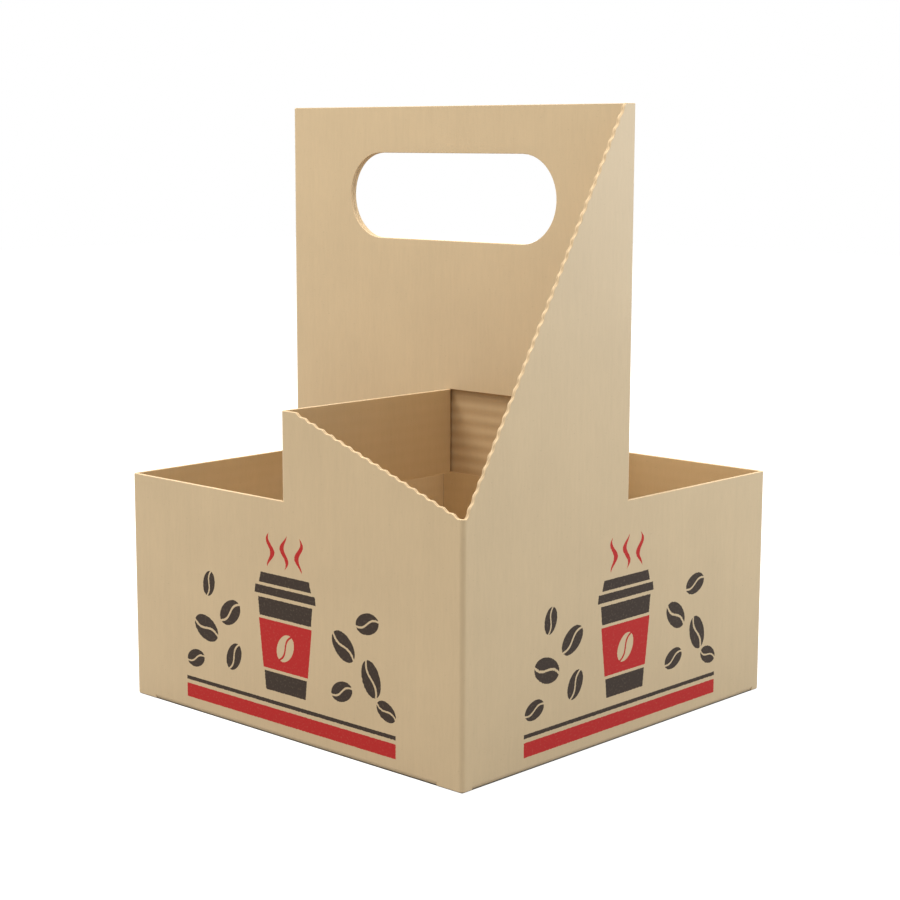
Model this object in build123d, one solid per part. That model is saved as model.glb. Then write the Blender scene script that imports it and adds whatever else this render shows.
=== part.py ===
# A carrier for four cups, folded and glued from one die-cut sheet of thin corrugated board.
#
# Going round the tray, each wall is low in one half and raised in the other. The two walls that
# run along X rise to the handle, the two that run along Y to the partition strips. At the middle
# of each wall the raised board turns inwards. From the X walls it makes a handle leaf, and the
# two leaves lie back to back, glued. A strip cut free from the lower edge of each leaf turns
# through a right angle at the centre and runs out to the middle of a Y wall, so that every cup
# gets a cell of its own. The carrier looks the same after half a turn about Z, apart from the
# glued corner.
#
# Frame: origin at the centre of the underside, +Z up, the handle along Y.

import os

from build123d import *

# The board
board = 1.6              # thickness of the corrugated board
fold_inside = 0.4        # inside radius of a fold

# The tray and what stands above it
side = 190.0             # outside width of the square tray
low_height = 95.9        # top edge of the low half of each wall
dip_height = 101.5       # top edge at the two corners where the slopes meet
strip_top = 131.5        # top edge of the partition strips
handle_top = 248.8       # top edge of the handle
strip_level = 5.5        # level stretch at the top of a slope that ends at a strip
handle_level = 4.8       # level stretch at the top of a slope that ends at the handle
leaf_gap = 0.6           # from the free end of a handle leaf to the fold beside it
strip_overrun = 1.2      # each strip's centre fold lies this far past the middle of its leaf,
                         # so that the two folds close the slit between them

# The slopes are cut in small waves, so that the bare edge is soft to the hand
wave_pitch = 5.2
wave_depth = 0.6         # from the valleys to the crests

# The hand hole, through both leaves
hole_length = 116.0
hole_height = 36.0
hole_drop = 37.3         # from the top edge of the handle to the centre line of the hole

# The glued corner: a tab on one wall, folded inwards behind the next
tab_width = 32.0
tab_taper = 9.0          # how much the tab loses at its free edge, above and below
tab_clearance = 0.6      # over the base fold that it stands beside
joint_inset = 0.8        # from the cut end of the outer wall to the face round the corner

# The self-locking base: two long flaps below, two short flaps glued on top of them
flap_relief = 1.9        # from the folds at the corners of the tray to the end of a flap's fold
corner_foot = 0.4        # the corners of the tray stop this far above the table
step_start = 1.0         # level part of a short flap beside its fold, before it steps up
step_end = 10.5          # from the outside of the wall to where it lies on the long flaps
step_gap = 2.5           # from there to the edge of a long flap
lock_lap = 24.0          # how far the lock edge steps to either side of the middle
lock_slant = 16.0        # half the length of the step along the lock edge
lock_radius = 5.0        # rounding of the lock edge
lock_gap = 0.6           # between the two lock edges
short_flap_depth = 80.0  # from the outside of the wall to the tip of a short flap
short_flap_taper = 6.0   # how much a short flap narrows at its straighter end
short_flap_radius = 6.0  # rounding of its free corners

half = side / 2
fold_outside = fold_inside + board
short_flap_end = half - fold_outside - board - flap_relief
long_flap_end = half - step_end - step_gap


def bend(centre, start_angle, length, plane=Plane.XY):
    """A quarter turn of the board about the plane's normal through the centre."""
    outer = CenterArc((0, 0), fold_outside, start_angle, 90)
    inner = CenterArc((0, 0), fold_inside, start_angle, 90)
    ends = [Line(outer @ 0, inner @ 0), Line(outer @ 1, inner @ 1)]
    section = make_face([outer, inner] + ends)
    return extrude(plane * Pos(*centre) * section, length)


def wave_edge(start, end):
    """The arcs of a wave-cut edge, swinging to either side of the straight line."""
    run = Vector(*end) - Vector(*start)
    across = Vector(-run.Y, run.X).normalized() * (wave_depth / 2)
    arc_count = 2 * max(1, round(run.length / wave_pitch))
    arcs = []
    for i in range(arc_count):
        a = Vector(*start) + run * (i / arc_count)
        b = Vector(*start) + run * ((i + 1) / arc_count)
        swing = across if i % 2 else -across
        arcs.append(ThreePointArc(a, (a + b) / 2 + swing, b))
    return arcs


def wall_face(peak, level, corner_inset, flap_end):
    """A wall drawn flat, with the raised half and the dip corner on the left."""
    dip_end = (-half + max(corner_inset, fold_outside), dip_height)
    slope_top = (-fold_inside - level, peak)
    rest = [
        (-half + corner_inset, dip_height),
        (-half + corner_inset, corner_foot),
        (-flap_end, corner_foot),
        (-flap_end, fold_outside),
        (flap_end, fold_outside),
        (flap_end, corner_foot),
        (half - fold_outside, corner_foot),
        (half - fold_outside, low_height),
        (-fold_inside, low_height),
        (-fold_inside, peak),
        slope_top,
    ]
    if corner_inset < fold_outside:
        rest.insert(0, dip_end)
    return make_face(wave_edge(slope_top, dip_end) + [Polyline(*rest)])


def handle_wall(corner_inset):
    """The wall along X, up to the handle, with its base fold and its short flap."""
    outline = wall_face(handle_top, handle_level, corner_inset, short_flap_end)
    outside = Plane((0, -half, 0), x_dir=(1, 0, 0), z_dir=(0, -1, 0))
    end_on = Plane((-short_flap_end, -half, 0), x_dir=(0, 1, 0), z_dir=(1, 0, 0))
    base_fold = bend((fold_outside, fold_outside), 180, 2 * short_flap_end, end_on)
    return extrude(outside * outline, -board) + base_fold + short_flap()


def strip_wall(corner_inset):
    """The wall along Y, up to a partition strip, with its base fold and its long flap."""
    outline = wall_face(strip_top, strip_level, corner_inset, long_flap_end)
    inwards = Plane((-half, 0, 0), x_dir=(0, 1, 0), z_dir=(1, 0, 0))
    end_on = Plane((-half, long_flap_end, 0), x_dir=(1, 0, 0), z_dir=(0, -1, 0))
    base_fold = bend((fold_outside, fold_outside), 180, 2 * long_flap_end, end_on)
    return extrude(inwards * outline, board) + base_fold + long_flap()


def short_flap():
    """The upper flap: it steps up onto the long flaps, and one end is cut back at 45 degrees."""
    fold_y = -half + fold_outside
    tip_y = -half + short_flap_depth
    free_edge = FilletPolyline(
        (-short_flap_end, fold_y),
        (-short_flap_end + short_flap_taper, tip_y),
        (short_flap_end - (tip_y - fold_y), tip_y),
        (short_flap_end, fold_y),
        radius=short_flap_radius,
    )
    outline = make_face([free_edge, Line(free_edge @ 1, free_edge @ 0)])
    underside = [(fold_y, 0), (fold_y + step_start, 0), (-half + step_end, board), (tip_y, board)]
    topside = [(y, z + board) for y, z in reversed(underside)]
    end_on = Plane((-short_flap_end, 0, 0), x_dir=(0, 1, 0), z_dir=(1, 0, 0))
    stepped = extrude(end_on * make_face(Polyline(*underside, *topside, close=True)), 2 * short_flap_end)
    return stepped & extrude(outline, 2 * board)


def long_flap():
    """The lower flap, whose stepped lock edge meets that of the opposite one."""
    fold_x = -half + fold_outside
    lock_edge = FilletPolyline(
        (lock_lap - lock_gap / 2, -long_flap_end),
        (lock_lap - lock_gap / 2, -lock_slant),
        (-lock_lap - lock_gap / 2, lock_slant),
        (-lock_lap - lock_gap / 2, long_flap_end),
        radius=lock_radius,
    )
    rest = Polyline(lock_edge @ 1, (fold_x, long_flap_end), (fold_x, -long_flap_end), lock_edge @ 0)
    return extrude(make_face([lock_edge, rest]), board)


def handle_leaf():
    """One layer of the handle, full height from its fold to the centre, then above the strip."""
    free_end = half - fold_outside - leaf_gap
    outline = Polyline(
        (-half + fold_outside, low_height),
        (-fold_outside, low_height),
        (-fold_outside, strip_top),
        (free_end, strip_top),
        (free_end, handle_top),
        (-half + fold_outside, handle_top),
        close=True,
    )
    upright = Plane((0, 0, 0), x_dir=(0, 1, 0), z_dir=(1, 0, 0))
    hole = Pos(0, handle_top - hole_drop) * SlotOverall(hole_length, hole_height)
    leaf = extrude(upright * (make_face(outline) - hole), board)
    fold = bend((-fold_inside, -half + fold_outside, low_height), 270, handle_top - low_height)
    return leaf + fold


def partition_strip():
    """The strip and its two folds, from the raised half of the Y wall to the foot of the leaf."""
    middle = board / 2
    route = FilletPolyline(
        (-half + middle, -2 * fold_outside),
        (-half + middle, middle),
        (-middle, middle - strip_overrun),
        (-middle, 2 * fold_outside),
        radius=fold_inside + middle,
    )
    return extrude(Pos(0, 0, low_height) * trace(route, board), strip_top - low_height)


def half_sheet(strip_wall_inset, handle_wall_inset):
    """A strip wall, a handle wall and all that is folded from them."""
    centre = (half - fold_outside, -half + fold_outside, corner_foot)
    low_corner = bend(centre, 270, low_height - corner_foot)
    walls = strip_wall(strip_wall_inset) + handle_wall(handle_wall_inset) + low_corner
    return walls + handle_leaf() + partition_strip()


def glue_tab():
    """The tab of the strip wall, drawn at the dip corner and glued inside the handle wall."""
    inner_y = -half + board
    start_x = -half + fold_outside
    foot_z = fold_outside + tab_clearance
    outline = Polyline(
        (start_x, corner_foot),
        (-short_flap_end, foot_z),
        (start_x + tab_width, foot_z + tab_taper),
        (start_x + tab_width, dip_height - tab_taper),
        (start_x, dip_height),
        close=True,
    )
    against_wall = Plane((0, inner_y, 0), x_dir=(1, 0, 0), z_dir=(0, -1, 0))
    tab = extrude(against_wall * make_face(outline), -board)
    return tab + bend((start_x, inner_y + fold_outside, corner_foot), 180, dip_height - corner_foot)


def carrier():
    """The folded sheet: the half with the folded corner and the half with the glued one."""
    centre = (-half + fold_outside, -half + fold_outside, corner_foot)
    folded_corner = bend(centre, 180, dip_height - corner_foot)
    front = half_sheet(fold_outside, fold_outside) + folded_corner
    back = half_sheet(fold_outside + board, joint_inset) + glue_tab()
    return front + Rot(0, 0, 180) * back


os.makedirs("parts", exist_ok=True)
export_step(carrier(), "parts/carrier.step")
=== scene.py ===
from math import ceil, cos, pi, radians, sin

import bmesh
import bpy
from mathutils import Matrix, Vector


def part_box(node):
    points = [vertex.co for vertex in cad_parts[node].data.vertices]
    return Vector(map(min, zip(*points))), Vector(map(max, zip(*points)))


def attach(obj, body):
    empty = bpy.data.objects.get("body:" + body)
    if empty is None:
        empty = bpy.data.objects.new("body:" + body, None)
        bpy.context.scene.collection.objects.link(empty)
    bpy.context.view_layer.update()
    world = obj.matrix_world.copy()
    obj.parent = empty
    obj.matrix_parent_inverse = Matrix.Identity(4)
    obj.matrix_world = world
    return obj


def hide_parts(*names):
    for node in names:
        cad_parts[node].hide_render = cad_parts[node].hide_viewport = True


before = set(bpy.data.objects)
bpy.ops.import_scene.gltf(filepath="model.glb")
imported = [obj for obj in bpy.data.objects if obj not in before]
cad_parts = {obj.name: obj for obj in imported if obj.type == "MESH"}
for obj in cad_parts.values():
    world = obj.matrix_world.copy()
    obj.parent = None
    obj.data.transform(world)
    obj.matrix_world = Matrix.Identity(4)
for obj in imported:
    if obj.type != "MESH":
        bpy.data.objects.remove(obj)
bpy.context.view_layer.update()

# The blank is one sheet of thin corrugated board, creased and die-cut flat. It is drawn along the
# middle of the board, x running round the walls and y up them, in two like halves. Each half is a
# handle wall with its leaf, a strip wall with its strip, and the two flaps of the base.
mm = 0.001
board = 1.6 * mm
lowest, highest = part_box("carrier")
wall = (highest[0] - lowest[0]) / 2 - board / 2    # from the centre to the middle of a wall's board
half_way = 4 * wall             # half of the way round the walls
blank_end = 8 * wall - board    # the last wall ends inside the first, where the glue tab begins
crease = 1.2 * mm               # radius of a fold, at the middle of the board
crease_steps = 6
same_place = 0.01 * mm          # points that are nearer to each other than this are one
hair = 0.001 * mm               # how near to a die line a point counts as on it


def new_sheet(left, right, low, high):
    """A plain sheet, left open in edit mode."""
    bpy.ops.object.select_all(action="DESELECT")
    bpy.ops.mesh.primitive_plane_add(size=1)
    sheet = bpy.context.object
    bpy.ops.object.mode_set(mode="EDIT")
    bpy.ops.transform.resize(value=(right - left, high - low, 1))
    bpy.ops.transform.translate(value=((left + right) / 2, (high + low) / 2, 0))
    return sheet


def pick(sheet, where):
    """Selects the faces whose middle is at a place."""
    bpy.ops.mesh.select_mode(type="FACE")
    bpy.ops.mesh.select_all(action="DESELECT")
    mesh = bmesh.from_edit_mesh(sheet.data)
    for face in mesh.faces:
        face.select_set(bool(where(*face.calc_center_median().xy)))
    bmesh.update_edit_mesh(sheet.data)


def strip_waste(sheet, where):
    pick(sheet, where)
    bpy.ops.mesh.delete(type="FACE")


def rule(sheet, line, where):
    """Draws a straight die line from one point to another, over the faces at a place."""
    pick(sheet, where)
    (x0, y0), (x1, y1) = line
    across = Vector((y0 - y1, x1 - x0, 0)).normalized()
    bpy.ops.mesh.bisect(plane_co=(x0, y0, 0), plane_no=across, threshold=hair)


def upright(sheet, x, low, high):
    rule(sheet, ((x, 0), (x, 1)), lambda u, v: low < v < high)


def level(sheet, y, left, right):
    rule(sheet, ((left, y), (right, y)), lambda u, v: left < u < right)


def crease_at(sheet, x, low, high):
    for i in range(crease_steps + 1):
        upright(sheet, x - crease + 2 * crease * i / crease_steps, low, high)


def above(line, u, v):
    """Whether a point lies above a line."""
    (u0, v0), (u1, v1) = line
    return v > v0 + (u - u0) * (v1 - v0) / (u1 - u0)


def round_corner(sheet, corner, radius):
    """Rounds one corner of an outline."""
    bpy.ops.mesh.select_mode(type="VERT")
    bpy.ops.mesh.select_all(action="DESELECT")
    mesh = bmesh.from_edit_mesh(sheet.data)
    for vertex in mesh.verts:
        vertex.select_set((vertex.co.xy - Vector(corner)).length < 2 * same_place)
    bmesh.update_edit_mesh(sheet.data)
    bpy.ops.mesh.bevel(offset=radius, segments=6, affect="VERTICES")


# The walls of the tray, each low in one half and raised in the other, in the board of the blank.
# The raised half of one wall goes on into the handle leaf, that of the next into the partition
# strip, which a slit cuts free from the foot of the leaf. The slopes run down to a common corner.
low_height = 95.9 * mm
dip_height = 101.5 * mm
strip_top = 131.5 * mm
handle_top = highest[2]
strip_level = 5.5 * mm          # level stretch at the top of a slope that ends at a strip
handle_level = 4.8 * mm         # level stretch at the top of a slope that ends at the handle
leaf_reach = 92.4 * mm          # from the centre to the free end of a leaf
overrun = 1.2 * mm              # how far a strip's fold lies past the middle of its leaf
corner_foot = 0.4 * mm          # the corners of the tray stop this far above the table


def cut_walls(sheet, first, last):
    """Creases two walls and what rises from them, and returns the lines of the two slopes."""
    handle_fold = first + wall + board / 2
    centre_fold = first + 2 * wall
    strip_fold = first + 3 * wall - board / 2
    dip_left, dip_right = first + crease, last - crease
    level(sheet, low_height, first, last)
    level(sheet, strip_top, first, last)
    level(sheet, corner_foot, first, last)
    crease_at(sheet, handle_fold, low_height, handle_top)
    crease_at(sheet, centre_fold, corner_foot, low_height)
    crease_at(sheet, centre_fold + overrun, low_height, strip_top)
    crease_at(sheet, strip_fold, low_height, strip_top)
    for i in range(crease_steps // 2 + 1):
        step = crease * i / (crease_steps // 2)
        upright(sheet, first + step, corner_foot, strip_top)
        upright(sheet, last - step, corner_foot, strip_top)
    level(sheet, dip_height, first, dip_left)
    level(sheet, dip_height, dip_right, last)

    handle_side, strip_side = handle_fold - crease, strip_fold + crease
    handle_slope = ((dip_left, dip_height), (handle_side - handle_level, handle_top))
    strip_slope = ((dip_right, dip_height), (strip_side + strip_level, strip_top))
    rule(sheet, handle_slope, lambda u, v: dip_left < u < handle_side and v > low_height)
    rule(sheet, strip_slope, lambda u, v: strip_fold < u < dip_right and low_height < v < strip_top)

    def over_handle_slope(u, v):
        return v > low_height and u < handle_side and above(handle_slope, u, v)

    def over_strip_slope(u, v):
        return v > low_height and strip_side < u < dip_right and above(strip_slope, u, v)

    strip_waste(sheet, lambda u, v: v > dip_height and u < dip_left)
    strip_waste(sheet, lambda u, v: v > dip_height and u > dip_right)
    strip_waste(sheet, over_handle_slope)
    strip_waste(sheet, over_strip_slope)
    free_end = handle_fold + wall + leaf_reach
    upright(sheet, free_end, strip_top, handle_top)
    strip_waste(sheet, lambda u, v: v > strip_top and u > free_end)
    return handle_slope, strip_slope


# The base is four flaps of the same board, folded in from the feet of the walls. The long ones lie
# on the table, and their stepped edges lock where they meet: half of each reaches past the middle
# and half stops short. The short ones step up onto them and are glued there.
short_end = 89.5 * mm           # from the middle of a wall to the end of its flap's fold
long_end = 82.0 * mm
ground = board / 2              # the middle of the board where it lies on the table
root = ground - crease          # where a flap leaves its fold
step_start = 2.2 * mm           # a short flap steps up between these distances from the middle
step_end = 9.7 * mm             # of its wall's board
short_tip = ground - (wall - 15.0 * mm)     # it ends this far from the centre of the tray
short_narrow = 6.0 * mm         # how much a short flap narrows at its straighter end
short_rounding = 6.0 * mm
lock_lap = 24.0 * mm
lock_slant = 16.0 * mm          # half the length of the step along the edge
lock_gap = 0.3 * mm             # half the gap between the two edges
lock_rounding = 5.0 * mm
lock_deep = ground - (wall + lock_lap - lock_gap)
lock_short = ground - (wall - lock_lap - lock_gap)


def part_flaps(sheet, handle_middle, centre_fold, strip_middle):
    """Creases the flaps along their walls and cuts them free from each other."""
    upright(sheet, centre_fold, lock_deep, corner_foot)
    for middle, end in ((handle_middle, short_end), (strip_middle, long_end)):
        upright(sheet, middle - end, lock_deep, low_height)
        upright(sheet, middle + end, lock_deep, low_height)
        for i in range(crease_steps + 1):
            y = ground - crease + 2 * crease * i / crease_steps
            level(sheet, y, middle - end, middle + end)

    def beside_short_flap(u, v):
        return v < corner_foot and u < centre_fold and abs(u - handle_middle) > short_end

    def beside_long_flap(u, v):
        return v < corner_foot and u > centre_fold and abs(u - strip_middle) > long_end

    strip_waste(sheet, beside_short_flap)
    strip_waste(sheet, beside_long_flap)


def cut_short_flap(sheet, middle):
    """Tapers one end of the flap and cuts the other back at 45 degrees."""
    left, right = middle - short_end, middle + short_end
    tapered = (left + short_narrow, short_tip), (left, root)
    cut_back = (right - (root - short_tip), short_tip), (right, root)

    def on_flap(u, v):
        return v < root and left < u < right

    def past_cut_back(u, v):
        beside = u > cut_back[0][0] and not above(cut_back, u, v)
        return on_flap(u, v) and (v < short_tip or beside)

    def past_taper(u, v):
        return on_flap(u, v) and u < tapered[0][0] and not above(tapered, u, v)

    level(sheet, short_tip, left, right)
    rule(sheet, tapered, on_flap)
    rule(sheet, cut_back, on_flap)
    strip_waste(sheet, past_cut_back)
    strip_waste(sheet, past_taper)
    level(sheet, ground - step_start, left, right)
    level(sheet, ground - step_end, left, right)
    round_corner(sheet, tapered[0], short_rounding)
    round_corner(sheet, cut_back[0], short_rounding)


def cut_long_flap(sheet, middle):
    """Cuts the edge that locks, and makes the flap one flat face again."""
    left, right = middle - long_end, middle + long_end
    step_left, step_right = middle - lock_slant, middle + lock_slant
    step = (step_left, lock_short), (step_right, lock_deep)

    def past_step(u, v):
        return v < root and step_left < u < step_right and not above(step, u, v)

    upright(sheet, step_left, lock_deep, root)
    upright(sheet, step_right, lock_deep, root)
    level(sheet, lock_short, left, step_left)
    rule(sheet, step, lambda u, v: step_left < u < step_right and v < root)
    strip_waste(sheet, lambda u, v: middle - wall < u < step_left and v < lock_short)
    strip_waste(sheet, past_step)
    pick(sheet, lambda u, v: v < root and left < u < right)
    bpy.ops.mesh.dissolve_faces()
    round_corner(sheet, step[0], lock_rounding)
    round_corner(sheet, step[1], lock_rounding)


# The hand hole goes through both leaves of the handle, a long slot with round ends, punched out of
# the board with the rest of the outline. In each leaf it is an inset of the panel round it.
hole_length = 116.0 * mm
hole_height = 36.0 * mm
hole_centre = handle_top - 37.3 * mm
hole_margin = 4.0 * mm          # from the hole to the panel's edge
side_points, end_points = 39, 23            # added along the panel's long and short edges


def punch_hand_hole(sheet, middle):
    reach, rise = hole_length / 2 + hole_margin, hole_height / 2 + hole_margin
    left, right = middle - reach, middle + reach
    low, high = hole_centre - rise, hole_centre + rise
    round_part = hole_height / 2
    straight = hole_length / 2 - round_part

    def on_panel(u, v):
        return left < u < right and low < v < high

    upright(sheet, left, strip_top, handle_top)
    upright(sheet, right, strip_top, handle_top)
    level(sheet, low, left, right)
    level(sheet, high, left, right)
    pick(sheet, on_panel)
    mesh = bmesh.from_edit_mesh(sheet.data)
    for edge in [e for e in mesh.edges if e.select]:
        cuts = side_points if edge.calc_length() > hole_length else end_points
        bmesh.ops.bisect_edges(mesh, edges=[edge], cuts=cuts)
    bmesh.update_edit_mesh(sheet.data)
    pick(sheet, on_panel)
    bpy.ops.mesh.inset(thickness=hole_margin / 2)
    mesh = bmesh.from_edit_mesh(sheet.data)
    for vertex in [v for v in mesh.verts if v.select]:
        x, y = vertex.co.x - middle, vertex.co.y - hole_centre
        if abs(x) <= straight:
            vertex.co.y = hole_centre + round_part * (1 if y > 0 else -1)
        else:
            end = straight if x > 0 else -straight
            spoke = Vector((x - end, y)).normalized() * round_part
            vertex.co.x, vertex.co.y = middle + end + spoke.x, hole_centre + spoke.y
    bmesh.update_edit_mesh(sheet.data)
    bpy.ops.mesh.remove_doubles(threshold=0.1 * mm)
    bpy.ops.mesh.delete(type="FACE")


# The slopes beside the dip corner are bare edges that a hand brushes past, so the die cuts them in
# small waves, which feel softer than a straight edge of board.
wave_pitch = 5.2 * mm
wave_depth = 0.6 * mm           # from the valleys to the crests
cuts_per_wave = 10


def wave_cut(sheet, low, high):
    """Cuts the slope from low to high in waves, of which the first one bulges inwards."""
    mesh = bmesh.from_edit_mesh(sheet.data)
    low, high = Vector(low), Vector(high)
    run = high - low
    along = run.normalized()
    across = Vector((-along.y, along.x)) * (-1 if along.x > 0 else 1)
    waves = round(run.length / wave_pitch)

    def on_slope(vertex):
        offset = vertex.co.xy - low
        return abs(offset.dot(across)) < same_place and -hair < offset.dot(along) < run.length + hair

    for edge in [e for e in mesh.edges if all(on_slope(v) for v in e.verts)]:
        cuts = max(0, ceil(edge.calc_length() / (wave_pitch / cuts_per_wave)) - 1)
        bmesh.ops.bisect_edges(mesh, edges=[edge], cuts=cuts)
    for vertex in [v for v in mesh.verts if on_slope(v)]:
        phase = (vertex.co.xy - low).dot(along) / run.length * waves
        shift = across * (wave_depth / 2 * sin(2 * pi * phase))
        vertex.co.x += shift.x
        vertex.co.y += shift.y
    bmesh.update_edit_mesh(sheet.data)


def half_blank(first, last):
    """Half of the blank. The crease at its end folds it to what comes next round the walls."""
    sheet = new_sheet(first, last, lock_deep, handle_top)
    handle_slope, strip_slope = cut_walls(sheet, first, last)
    part_flaps(sheet, first + wall, first + 2 * wall, first + 3 * wall)
    cut_short_flap(sheet, first + wall)
    cut_long_flap(sheet, first + 3 * wall)
    punch_hand_hole(sheet, first + 2 * wall + board / 2)
    wave_cut(sheet, *handle_slope)
    wave_cut(sheet, *strip_slope)
    bpy.ops.object.mode_set(mode="OBJECT")
    return sheet


back_half = half_blank(0, half_way)
front_half = half_blank(half_way, blank_end)

# The glue tab closes the ring of walls. It is a flap of the same board at the end of the last wall,
# tapered below, and it goes inside the first wall, where it is glued.
tab_width = 32.0 * mm
tab_end = blank_end + crease + tab_width
tab_taper = 9.0 * mm            # how much it rises towards its free edge
tab_foot = 2.6 * mm             # it clears the base fold that it stands beside
tab_root, tab_knee = blank_end + crease, blank_end + wall - short_end
foot_line = (tab_root, corner_foot), (tab_knee, tab_foot)
lower_line = (tab_knee, tab_foot), (tab_end, tab_foot + tab_taper)

tab = new_sheet(blank_end, tab_end, corner_foot, dip_height)
for i in range(1, crease_steps // 2 + 1):
    upright(tab, blank_end + crease * i / (crease_steps // 2), 0, dip_height)
upright(tab, tab_knee, 0, dip_height)
level(tab, low_height, blank_end, tab_end)
rule(tab, foot_line, lambda u, v: tab_root < u < tab_knee)
rule(tab, lower_line, lambda u, v: u > tab_knee)
strip_waste(tab, lambda u, v: tab_root < u < tab_knee and not above(foot_line, u, v))
strip_waste(tab, lambda u, v: u > tab_knee and not above(lower_line, u, v))
strip_waste(tab, lambda u, v: u > tab_root and v > low_height)
bpy.ops.object.mode_set(mode="OBJECT")

# Folding. Each storey of the blank goes round its own way: the lowest as the ring of walls, the
# next as the walls' raised halves, the strips and the foot of each leaf, the third as the slopes
# and the leaves. The flaps turn in under the walls.
bpy.ops.object.select_all(action="DESELECT")
for part in (back_half, front_half, tab):
    part.select_set(True)
bpy.context.view_layer.objects.active = back_half
bpy.ops.object.join()
carrier = bpy.context.object
carrier.name = carrier.data.name = "folded_carrier"
bpy.ops.object.mode_set(mode="EDIT")
bpy.ops.mesh.select_all(action="SELECT")
bpy.ops.mesh.remove_doubles(threshold=same_place)
bpy.ops.mesh.normals_make_consistent(inside=False)
bpy.ops.mesh.edge_split(type="EDGE")
bpy.ops.object.mode_set(mode="OBJECT")


def go_round(x, route):
    """Where a point of the blank comes to, seen from above, the way inwards there, and how near
    it is to the middle of a fold. The route lists how far along each corner is, and its place."""
    for i in range(len(route) - 1):
        (x0, p0), (x1, p1) = route[i], route[i + 1]
        heading = (Vector(p1) - Vector(p0)).normalized()
        if i and x < x0 + crease:
            before = (Vector(p0) - Vector(route[i - 1][1])).normalized()
            turn = before.cross(heading)
            share = (x - x0 + crease) / (2 * crease)
            swing = share * (pi / 2 if turn > 0 else -pi / 2)
            left = Vector((-before.y, before.x)) * (1 if turn > 0 else -1)
            start = Vector(p0) - before * crease
            spot = start + before * (crease * abs(sin(swing))) + left * (crease * (1 - cos(swing)))
            square = Vector(p0) + left * crease
            return spot + (Vector(p0) + heading * crease - square) * share, left, 1 - abs(2 * share - 1)
        if x <= x1 - crease or i == len(route) - 2:
            first = Vector(p0) + heading * crease if i else Vector(p0)
            last = Vector(p1) - heading * crease if i < len(route) - 2 else Vector(p1)
            low, high = x0 + (crease if i else 0), x1 - (crease if i < len(route) - 2 else 0)
            return first + (last - first) * (x - low) / (high - low), Vector((-heading.y, heading.x)), 0


inset = board / 2               # the two leaves lie back to back, each this far from the middle
ring = [
    (0, (wall, wall)),
    (2 * wall, (-wall, wall)),
    (4 * wall, (-wall, -wall)),
    (6 * wall, (wall, -wall)),
    (8 * wall, (wall, wall)),
]
to_tab = [(blank_end, (wall, wall - board)), (tab_end, (wall - tab_end + blank_end, wall - board))]
back_leaf = [(0, (wall, wall)), (wall + inset, (-inset, wall))]
front_leaf = [(4 * wall, (-wall, -wall)), (5 * wall + inset, (inset, -wall))]
back_strip = [(2 * wall + overrun, (-inset, inset - overrun)), (3 * wall - inset, (-wall, inset))]
front_strip = [(6 * wall + overrun, (inset, overrun - inset)), (7 * wall - inset, (wall, -inset))]
storeys = {
    "low": ring[:4] + to_tab,
    "middle": back_leaf + back_strip + front_leaf + front_strip + to_tab,
    "back leaf": back_leaf + [(2 * wall + inset + leaf_reach, (-inset, -leaf_reach))],
    "front leaf": front_leaf + [(6 * wall + inset + leaf_reach, (inset, leaf_reach))],
}
mesh = carrier.data
# How near each point is to the middle of a fold. It sets the paler handle folds (wear and a painted
# highlight) and the painted shade deep in the inner folds.
fold_nearness = mesh.attributes.new("crease", "FLOAT", "POINT")
blank_map = mesh.uv_layers.new(name="blank")
for face in mesh.polygons:
    for loop in face.loop_indices:
        point = mesh.vertices[mesh.loops[loop].vertex_index].co
        blank_map.data[loop].uv = point.x, point.y
for face in mesh.polygons:
    u = sum(mesh.vertices[i].co.x for i in face.vertices) / len(face.vertices)
    v = sum(mesh.vertices[i].co.y for i in face.vertices) / len(face.vertices)
    which = min(3, int(u / (2 * wall)))
    is_long = which % 2
    beside = abs(u - (2 * which + 1) * wall)
    on_fold = v < ground + crease and beside < (long_end if is_long else short_end)
    is_flap = u < blank_end and (v < 0 or on_fold)
    for i in face.vertices:
        vertex = mesh.vertices[i]
        x, y = vertex.co.x, vertex.co.y
        if is_flap:
            spot, inwards, bent = go_round(x, ring[which:which + 2])
            past = ground + crease - y
            if past >= 2 * crease:
                rise = min(1, max(0, (ground - y - step_start) / (step_end - step_start)))
                spot = spot + inwards * (ground - y)
                y = ground if is_long else ground + board * rise
            elif past > 0:
                turn = past / (2 * crease) * pi / 2
                spot = spot + inwards * crease * (1 - cos(turn))
                y = ground + crease - crease * sin(turn)
                bent = 1 - abs(past / crease - 1)
        elif v < low_height:
            spot, inwards, bent = go_round(x, storeys["low"])
        elif v < strip_top:
            spot, inwards, bent = go_round(x, storeys["middle"])
        else:
            spot, inwards, bent = go_round(x, storeys["back leaf" if u < half_way else "front leaf"])
        vertex.co = spot.x, spot.y, y
        fold_nearness.data[i].value = bent

bpy.ops.object.mode_set(mode="EDIT")
bpy.ops.mesh.select_all(action="SELECT")
bpy.ops.mesh.remove_doubles(threshold=same_place)
bpy.ops.object.mode_set(mode="OBJECT")

# The board is two paper liners with a fluted sheet glued between them. The folded sheet is its
# middle, so it grows to both sides. Its two faces and its cut edge each get their own paper.
thickness = carrier.modifiers.new("board", "SOLIDIFY")
thickness.thickness = board - 0.08 * mm     # the glue line between two layers takes up the rest
thickness.offset = 0
thickness.use_even_offset = True
inner_slot, cut_slot = 1, 2
thickness.material_offset = inner_slot
thickness.material_offset_rim = cut_slot
for name in ("outer_liner", "inner_liner", "cut_edge"):
    carrier.data.materials.append(bpy.data.materials.new(name))
bpy.ops.object.modifier_apply(modifier="board")
carrier = bpy.context.object
mesh = carrier.data
depth = mesh.attributes.new("depth", "FLOAT", "POINT")
for face in mesh.polygons:
    if face.material_index == inner_slot:
        for i in face.vertices:
            depth.data[i].value = 1

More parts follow.
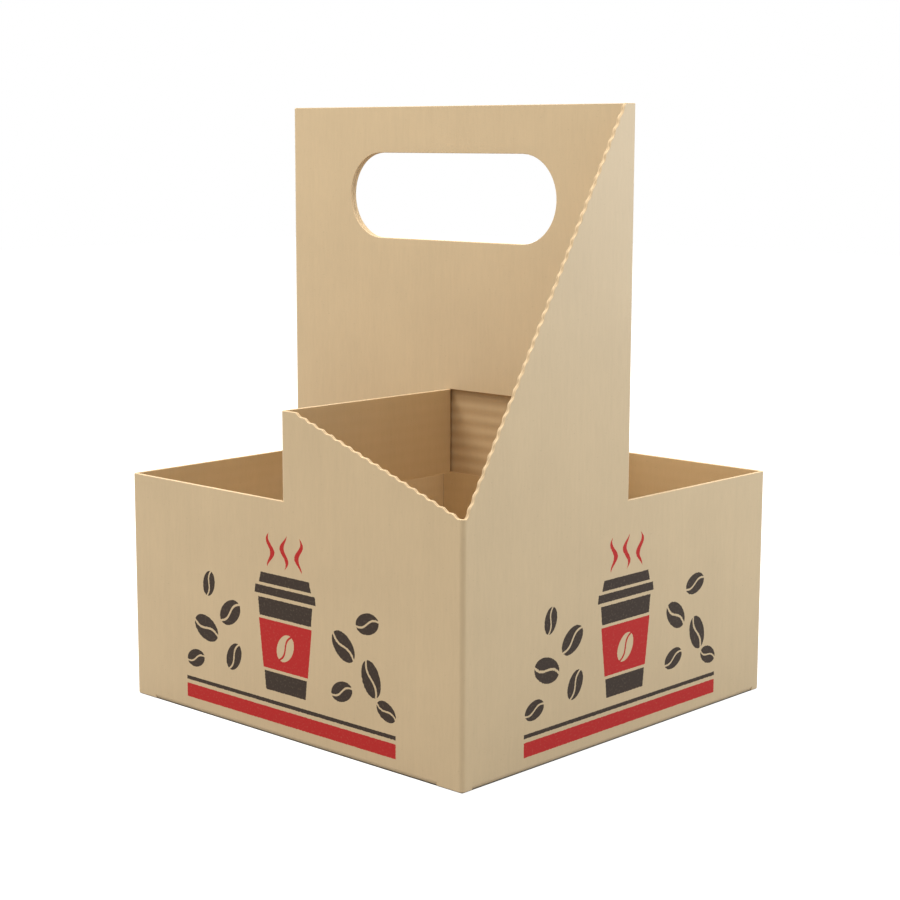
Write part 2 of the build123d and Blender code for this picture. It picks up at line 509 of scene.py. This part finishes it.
# Every cut crushes the board a little, so its two edges are eased. They aren't where a slit runs
# out between two cut edges that face each other.
bpy.ops.object.mode_set(mode="EDIT")
bpy.ops.mesh.select_mode(type="EDGE")
bpy.ops.mesh.select_all(action="DESELECT")
solid = bmesh.from_edit_mesh(mesh)
ease = 0.28 * mm
face_to_face = -0.8             # the product of two normals that are nearly opposite
slit_ends = set()
for edge in solid.edges:
    cuts = [face for face in edge.link_faces if face.material_index == cut_slot]
    if len(cuts) == 2 and cuts[0].normal.dot(cuts[1].normal) < face_to_face:
        slit_ends.update(edge.verts)
for edge in solid.edges:
    cuts = [face for face in edge.link_faces if face.material_index == cut_slot]
    edge.select_set(len(cuts) == 1 and not slit_ends.intersection(edge.verts))
bmesh.update_edit_mesh(mesh)
bpy.ops.mesh.bevel(offset=ease, segments=2, affect="EDGES", clamp_overlap=False, material=cut_slot)
bpy.ops.object.mode_set(mode="OBJECT")
bpy.ops.object.shade_smooth_by_angle(angle=radians(35))
weighted = carrier.modifiers.new("even_shading", "WEIGHTED_NORMAL")
weighted.keep_sharp = True
bpy.ops.object.modifier_apply(modifier="even_shading")

# Kraft paper, the same in all the faces of the board: long fibres along the machine direction, a
# cloudy formation, and here and there a darker fleck. Its colour is given; the relief is for a bump.


def colour(red, green, blue):
    """A colour as a paint chart gives it, 0 to 255, turned into light."""
    steps = [c / 255 for c in (red, green, blue)]
    return (*[c / 12.92 if c <= 0.04045 else ((c + 0.055) / 1.055) ** 2.4 for c in steps], 1)


def feed(tree, sockets, values):
    """Gives each socket its number or colour, or links another node's output to it."""
    for socket, value in zip(sockets, values):
        if isinstance(value, bpy.types.NodeSocket):
            tree.links.new(value, socket)
        else:
            socket.default_value = value


def calc(tree, operation, *values):
    """A Math node of the tree, fed with numbers or with other nodes' outputs."""
    node = tree.nodes.new("ShaderNodeMath")
    node.operation = operation
    feed(tree, node.inputs, values)
    return node.outputs[0]


def blend(tree, amount, first, second, way="MIX"):
    """A Mix node for two colours."""
    node = tree.nodes.new("ShaderNodeMix")
    node.data_type = "RGBA"
    node.blend_type = way
    feed(tree, (node.inputs[0], node.inputs[6], node.inputs[7]), (amount, first, second))
    return node.outputs[2]


def noise(tree, place, scale, detail, stretch=(1, 1, 1), rough=0.5):
    """Noise at a scale per metre, drawn out by stretch."""
    mapping = tree.nodes.new("ShaderNodeMapping")
    mapping.inputs["Scale"].default_value = stretch
    tree.links.new(place, mapping.inputs["Vector"])
    node = tree.nodes.new("ShaderNodeTexNoise")
    node.inputs["Scale"].default_value = scale
    node.inputs["Detail"].default_value = detail
    node.inputs["Roughness"].default_value = rough
    tree.links.new(mapping.outputs[0], node.inputs["Vector"])
    return node.outputs["Fac"]


def read_blank(tree):
    """The place on the flat blank."""
    node = tree.nodes.new("ShaderNodeUVMap")
    node.uv_map = "blank"
    return node.outputs[0]


def split(tree, vector):
    """The first two parts of a vector."""
    node = tree.nodes.new("ShaderNodeSeparateXYZ")
    tree.links.new(vector, node.inputs[0])
    return node.outputs["X"], node.outputs["Y"]


def read_attribute(tree, name):
    node = tree.nodes.new("ShaderNodeAttribute")
    node.attribute_name = name
    return node.outputs["Fac"]


def new_group(name, inputs, outputs):
    tree = bpy.data.node_groups.new(name, "ShaderNodeTree")
    for label, kind, value in inputs:
        socket = tree.interface.new_socket(label, in_out="INPUT", socket_type=kind)
        socket.default_value = value
    for label, kind in outputs:
        tree.interface.new_socket(label, in_out="OUTPUT", socket_type=kind)
    return tree, tree.nodes.new("NodeGroupInput"), tree.nodes.new("NodeGroupOutput")


paper, given, out = new_group(
    "kraft_paper",
    [
        ("Colour", "NodeSocketColor", (0.5, 0.4, 0.25, 1)),
        ("Cloud", "NodeSocketFloat", 0.5),
        ("Streak", "NodeSocketFloat", 0.5),
    ],
    [("Colour", "NodeSocketColor"), ("Relief", "NodeSocketFloat")],
)
place = read_blank(paper)
clouds = noise(paper, place, 35, 3)
fibres = noise(paper, place, 900, 4, (1, 0.12, 1), 0.65)
streaks = noise(paper, place, 260, 2, (1, 0.02, 1))
flecks = noise(paper, place, 1400, 1, (0.45, 1, 1))
tone = 1
for pattern, strength in (
    (clouds, given.outputs["Cloud"]),
    (streaks, given.outputs["Streak"]),
    (fibres, 0.12),
):
    tone = calc(paper, "MULTIPLY_ADD", calc(paper, "SUBTRACT", pattern, 0.5), strength, tone)
fleck_rarity, fleck_strength = 0.73, 0.09
fleck = calc(paper, "GREATER_THAN", flecks, fleck_rarity)
tone = calc(paper, "SUBTRACT", tone, calc(paper, "MULTIPLY", fleck, fleck_strength))
shade = paper.nodes.new("ShaderNodeCombineColor")
for socket in shade.inputs:
    paper.links.new(tone, socket)
tinted = blend(paper, 1.0, given.outputs["Colour"], shade.outputs[0], "MULTIPLY")
paper.links.new(tinted, out.inputs["Colour"])
relief = calc(paper, "ADD", fibres, calc(paper, "MULTIPLY", clouds, 0.5))
paper.links.new(relief, out.inputs["Relief"])

# The print in the middle of each wall: a lidded paper cup with a red sleeve and three curls of
# steam, coffee beans beside it, and two bands below, in one pass of thin ink, uneven over the
# fibres. Its sizes are in millimetres, across from the middle of the wall and up from the table.
ink, given, out = new_group("print", [], [("Red", "NodeSocketFloat"), ("Brown", "NodeSocketFloat")])
place = read_blank(ink)
along, height = split(ink, place)
grain = noise(ink, place, 1100, 2)
wobble = calc(ink, "MULTIPLY", calc(ink, "SUBTRACT", grain, 0.5), 0.5)
across = calc(ink, "SUBTRACT", calc(ink, "FLOORED_MODULO", along, 2 * wall), wall)
across = calc(ink, "ADD", calc(ink, "MULTIPLY", across, 1 / mm), wobble)
up = calc(ink, "ADD", calc(ink, "MULTIPLY", height, 1 / mm), wobble)
width = calc(ink, "ABSOLUTE", across)


def both(first, second):
    return calc(ink, "MULTIPLY", first, second)


def either(first, second):
    return calc(ink, "MAXIMUM", first, second)


def between(value, low, high):
    return both(calc(ink, "GREATER_THAN", value, low), calc(ink, "LESS_THAN", value, high))


def taper(low, high, low_width, high_width):
    """A shape that is low_width to either side at its foot and high_width at its top."""
    slope = (high_width - low_width) / (high - low)
    edge = calc(ink, "MULTIPLY_ADD", up, slope, low_width - low * slope)
    return both(between(up, low, high), calc(ink, "LESS_THAN", width, edge))


def bean(x, y, turn, long, short):
    """A coffee bean, long and short from its middle to its ends, with its wavy furrow."""
    waviness, reach, furrow_half = 3.0, 0.22, 0.10
    dx, dy = calc(ink, "SUBTRACT", across, x), calc(ink, "SUBTRACT", up, y)
    c, s = cos(radians(turn)), sin(radians(turn))
    lengthways = calc(ink, "ADD", calc(ink, "MULTIPLY", dx, c), calc(ink, "MULTIPLY", dy, s))
    sideways = calc(ink, "SUBTRACT", calc(ink, "MULTIPLY", dy, c), calc(ink, "MULTIPLY", dx, s))
    lengthways = calc(ink, "DIVIDE", lengthways, long)
    sideways = calc(ink, "DIVIDE", sideways, short)
    from_middle = calc(ink, "ADD", both(lengthways, lengthways), both(sideways, sideways))
    body = calc(ink, "LESS_THAN", from_middle, 1)
    sway = calc(ink, "SINE", calc(ink, "MULTIPLY", lengthways, waviness))
    off = calc(ink, "SUBTRACT", sideways, calc(ink, "MULTIPLY", sway, reach))
    return both(body, calc(ink, "GREATER_THAN", calc(ink, "ABSOLUTE", off), furrow_half))


def curl(x):
    """A curl of steam, thickest half way up."""
    foot, top = 68.5, 82.5
    waviness, reach, thickness = 0.55, 1.5, 1.3
    rise = pi / (top - foot)
    sway = calc(ink, "SINE", calc(ink, "MULTIPLY_ADD", up, waviness, x * 0.2))
    off = calc(ink, "SUBTRACT", calc(ink, "SUBTRACT", across, x), calc(ink, "MULTIPLY", sway, reach))
    swell = calc(ink, "SINE", calc(ink, "MULTIPLY_ADD", up, rise, -foot * rise))
    thick = calc(ink, "MULTIPLY", swell, thickness)
    return both(between(up, foot, top), calc(ink, "LESS_THAN", calc(ink, "ABSOLUTE", off), thick))


band_reach = 61                 # from the middle of the wall to the end of a band
slimness = 0.66                 # a bean's width over its length
cup = either(taper(18.5, 26.2, 11.6, 12.4), taper(48.4, 55.8, 15.0, 15.8))
lid = either(taper(57.2, 60.6, 17.8, 17.3), taper(61.8, 66.0, 15.2, 14.0))
sleeve = both(taper(27.4, 47.2, 13.0, 15.4), calc(ink, "SUBTRACT", 1, bean(0, 37, 55, 6.2, 4.4)))
brown = either(either(cup, lid), taper(13.0, 14.6, band_reach, band_reach))
for x, y, turn, size in (
    (-33, 46, 35, 7.0), (-48, 37, -20, 7.6), (-31, 28, 60, 6.2), (-55, 23, 15, 5.6), (-46, 56, 75, 5.4),
    (33, 44, -40, 7.2), (46, 55, 15, 6.3), (48, 34, -70, 7.4), (32, 26, 20, 6.0), (56, 23, -25, 5.4),
):
    brown = either(brown, bean(x, y, turn, size, size * slimness))
steam = either(either(curl(-8.5), curl(0)), curl(8.5))
red = either(either(sleeve, taper(5.6, 11.4, band_reach, band_reach)), steam)
cover = calc(ink, "MINIMUM", calc(ink, "MULTIPLY_ADD", grain, 0.5, 0.76), 0.98)
ink.links.new(both(red, cover), out.inputs["Red"])
ink.links.new(both(brown, cover), out.inputs["Brown"])

# The outside liner is smooth kraft paper, glued to the flutes and printed before the die cuts it.
# The ink is matt on the slightly glossy paper. The folds of the handle are painted a little paler:
# partly wear from hands, partly a painted highlight along their rounded outer face.


def board_material(name, shade, rough, cloud, streak):
    """A paper face of the board: its tree, its paper group and its shader."""
    material = bpy.data.materials[name]
    material.use_nodes = True
    tree = material.node_tree
    shader = tree.nodes["Principled BSDF"]
    shader.inputs["Roughness"].default_value = rough
    face = tree.nodes.new("ShaderNodeGroup")
    face.node_tree = paper
    face.inputs["Colour"].default_value = shade
    face.inputs["Cloud"].default_value = cloud
    face.inputs["Streak"].default_value = streak
    return tree, face, shader


def raise_bump(tree, shader, height, strength, distance):
    bump = tree.nodes.new("ShaderNodeBump")
    bump.inputs["Strength"].default_value = strength
    bump.inputs["Distance"].default_value = distance
    tree.links.new(height, bump.inputs["Height"])
    tree.links.new(bump.outputs[0], shader.inputs["Normal"])


paper_rough, ink_dulls = 0.42, 0.33
tree, face, shader = board_material("outer_liner", colour(207, 183, 145), paper_rough, 0.10, 0.06)
height = split(tree, read_blank(tree))[1]
# Above the dip the outer folds are painted paler: wear from hands, and a painted highlight.
wear_and_highlight_above_dip = calc(tree, "MULTIPLY", calc(tree, "GREATER_THAN", height, dip_height), 0.25)
fold_wear_and_highlight = calc(tree, "MULTIPLY", read_attribute(tree, "crease"), wear_and_highlight_above_dip)
printed = tree.nodes.new("ShaderNodeGroup")
printed.node_tree = ink
shown = blend(tree, fold_wear_and_highlight, face.outputs["Colour"], colour(230, 212, 182))
shown = blend(tree, printed.outputs["Red"], shown, colour(184, 8, 14))
shown = blend(tree, printed.outputs["Brown"], shown, colour(38, 22, 12))
tree.links.new(shown, shader.inputs["Base Color"])
inked = calc(tree, "MAXIMUM", printed.outputs["Red"], printed.outputs["Brown"])
roughness = calc(tree, "MULTIPLY_ADD", inked, ink_dulls, paper_rough)
tree.links.new(roughness, shader.inputs["Roughness"])
shader.inputs["Specular IOR Level"].default_value = 0.42
raise_bump(tree, shader, face.outputs["Relief"], 0.25, 0.05 * mm)

# The inside liner is a thinner and browner kraft paper. The flutes that it is glued to raise it in
# level ribs, with painted light and shade along them, most of all on the foot of each leaf, which is
# also painted darker all over as painted shade. Deep in the folds it is painted darker, as painted
# shade.
flute_pitch = 5.17 * mm
tree, face, shader = board_material("inner_liner", colour(197, 170, 128), 0.8, 0.14, 0.06)
place = read_blank(tree)
along, height = split(tree, place)
drift = calc(tree, "MULTIPLY", noise(tree, place, 22, 2), 1.2)
ribs = calc(tree, "SINE", calc(tree, "MULTIPLY_ADD", height, 2 * pi / flute_pitch, drift))
across = calc(tree, "FLOORED_MODULO", along, half_way)
foot = calc(tree, "GREATER_THAN", across, wall + board)
foot = calc(tree, "MULTIPLY", foot, calc(tree, "LESS_THAN", across, 2 * wall + crease))
foot = calc(tree, "MULTIPLY", foot, calc(tree, "GREATER_THAN", height, low_height))
elsewhere = 0.15
shows = calc(tree, "MULTIPLY_ADD", foot, 1 - elsewhere, elsewhere)
# Pale and dark stripes along the ribs are painted light and shade of their relief. The dark one also
# darkens the whole foot of each leaf, as painted shade deep in the cells.
rib_painted_light = calc(tree, "MULTIPLY", calc(tree, "MULTIPLY_ADD", ribs, 0.05, 0.05), shows)
shown = blend(tree, rib_painted_light, face.outputs["Colour"], colour(226, 200, 162))
rib_and_foot_painted_shade = calc(tree, "MULTIPLY", calc(tree, "MULTIPLY_ADD", ribs, -0.09, 0.22), shows)
shown = blend(tree, rib_and_foot_painted_shade, shown, colour(150, 108, 66))
# Painted shade deep in the folds, strongest at their middle.
fold_painted_shade = calc(tree, "MULTIPLY", calc(tree, "POWER", read_attribute(tree, "crease"), 2), 0.6)
shown = blend(tree, fold_painted_shade, shown, colour(92, 60, 32))
tree.links.new(shown, shader.inputs["Base Color"])
ribbed = calc(tree, "MULTIPLY", ribs, shows)
ribbed = calc(tree, "MULTIPLY_ADD", face.outputs["Relief"], 0.1, ribbed)
raise_bump(tree, shader, ribbed, 0.35, 0.12 * mm)

# The cut edge of the board is bare: its two liners show as fine lines, and the waves of the fluting
# run between them, with the hollows beside them painted a little darker, as painted shade.
tree, face, shader = board_material("cut_edge", colour(214, 187, 147), 0.85, 0.2, 0.0)
height = split(tree, read_blank(tree))[1]
into = read_attribute(tree, "depth")
wave = calc(tree, "SINE", calc(tree, "MULTIPLY", height, 2 * pi / flute_pitch))
flute = calc(tree, "MULTIPLY_ADD", wave, 0.3, 0.5)
off_flute = calc(tree, "ABSOLUTE", calc(tree, "SUBTRACT", into, flute))
off_middle = calc(tree, "ABSOLUTE", calc(tree, "SUBTRACT", into, 0.5))
flute_half, between_liners = 0.13, 0.36
# The open flute channels are painted darker, as painted shade.
hollow_painted_shade = calc(tree, "GREATER_THAN", off_flute, flute_half)
hollow_painted_shade = calc(tree, "MULTIPLY", hollow_painted_shade, calc(tree, "LESS_THAN", off_middle, between_liners))
hollow_painted_shade = calc(tree, "MULTIPLY", hollow_painted_shade, 0.28)
shown = blend(tree, hollow_painted_shade, face.outputs["Colour"], colour(112, 84, 52))
tree.links.new(shown, shader.inputs["Base Color"])

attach(carrier, "root")
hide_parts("carrier")

# The table is a matt white plane, which keeps the carrier's shadow. The camera and whatever is
# glossy or clear see it as white, but not through the open corners of the base.
bpy.ops.object.select_all(action="DESELECT")
bpy.ops.mesh.primitive_plane_add(size=6)
table = bpy.context.object
table.name = "table"
white = bpy.data.materials.new("table_white")
white.use_nodes = True
tree = white.node_tree
tree.nodes.remove(tree.nodes["Principled BSDF"])
matt = tree.nodes.new("ShaderNodeBsdfDiffuse")
matt.inputs["Color"].default_value = (0.37, 0.36, 0.345, 1)
ray = tree.nodes.new("ShaderNodeLightPath")
seen = calc(tree, "MAXIMUM", ray.outputs["Is Camera Ray"], ray.outputs["Is Transmission Ray"])
seen = calc(tree, "MULTIPLY_ADD", ray.outputs["Is Glossy Ray"], 0.35, seen)
here = tree.nodes.new("ShaderNodeTexCoord")
away = tree.nodes.new("ShaderNodeVectorMath")
away.operation = "LENGTH"
tree.links.new(here.outputs["Object"], away.inputs[0])
whiter = calc(tree, "MULTIPLY_ADD", away.outputs["Value"], 0.3, 0.80)
whiter = calc(tree, "MINIMUM", whiter, 1)
x_away, y_away = [calc(tree, "ABSOLUTE", part) for part in split(tree, here.outputs["Object"])]
beside = calc(tree, "GREATER_THAN", calc(tree, "MAXIMUM", x_away, y_away), wall)
whiter = calc(tree, "MULTIPLY", whiter, beside)
glow = tree.nodes.new("ShaderNodeEmission")
tree.links.new(calc(tree, "MULTIPLY", seen, whiter), glow.inputs["Strength"])
add = tree.nodes.new("ShaderNodeAddShader")
tree.links.new(matt.outputs[0], add.inputs[0])
tree.links.new(glow.outputs[0], add.inputs[1])
tree.links.new(add.outputs[0], tree.nodes["Material Output"].inputs["Surface"])
table.data.materials.append(white)

# The studio is white all round. Its lamps are round and soft: a warm one at the back left, one
# above and one behind, and two small cool ones on the right.
world = bpy.data.worlds.new("studio")
bpy.context.scene.world = world
world.use_nodes = True
tree = world.node_tree
background = tree.nodes["Background"]
background.inputs["Color"].default_value = (1, 1, 1, 1)
ray = tree.nodes.new("ShaderNodeLightPath")
seen = calc(tree, "MAXIMUM", ray.outputs["Is Glossy Ray"], ray.outputs["Is Transmission Ray"])
seen = calc(tree, "MAXIMUM", ray.outputs["Is Camera Ray"], seen)
fill = 0.56
strength = calc(tree, "MULTIPLY_ADD", seen, 1 - fill, fill)
tree.links.new(strength, background.inputs["Strength"])


def lamp(name, place, aim, size, power, tint):
    """A round lamp of a size in metres and a power in watts."""
    bpy.ops.object.light_add(type="AREA", location=place)
    light = bpy.context.object
    light.name = name
    light.data.shape = "DISK"
    light.data.size = size
    light.data.energy = power
    light.data.color = tint
    light.rotation_euler = (Vector(aim) - Vector(place)).to_track_quat("-Z", "Y").to_euler()


lamp("back_left_lamp", (-0.5, 0.5, 1.2), (0, 0, 0.1), 0.7, 13, (1, 0.97, 0.93))
lamp("top_lamp", (-0.2, -0.3, 1.4), (0, 0, 0.1), 0.8, 9, (1, 0.98, 0.95))
lamp("right_lamp", (0.7, -0.68, 0.32), (0, -0.09, 0.2), 0.5, 2.7, (0.78, 0.89, 1))
lamp("near_right_lamp", (0.15, -0.38, 0.55), (0, -0.09, 0.17), 0.3, 0.7, (0.9, 0.95, 1))
lamp("behind_lamp", (0.7, 0.9, 0.9), (0, 0, 0.12), 0.8, 11, (0.97, 0.99, 1))

# The camera is at the place that the photograph was taken from: before the near corner of the
# tray, just below the top of the handle, and rolled very slightly.
stand = (-0.5876, -0.5486, 0.2341)
ahead = Vector((0.72156, 0.67403, -0.15823)).normalized()
right = ahead.cross(Vector((0, 0, 1))).normalized()
top = right.cross(ahead)
roll = radians(0.159)
right, top = right * cos(roll) + top * sin(roll), top * cos(roll) - right * sin(roll)
bpy.ops.object.camera_add()
camera = bpy.context.object
turned = Matrix((right, top, -ahead)).transposed().to_4x4()
camera.matrix_world = Matrix.Translation(stand) @ turned
camera.data.lens = 76.9
bpy.context.scene.camera = camera
bpy.context.scene.view_settings.view_transform = "Standard"
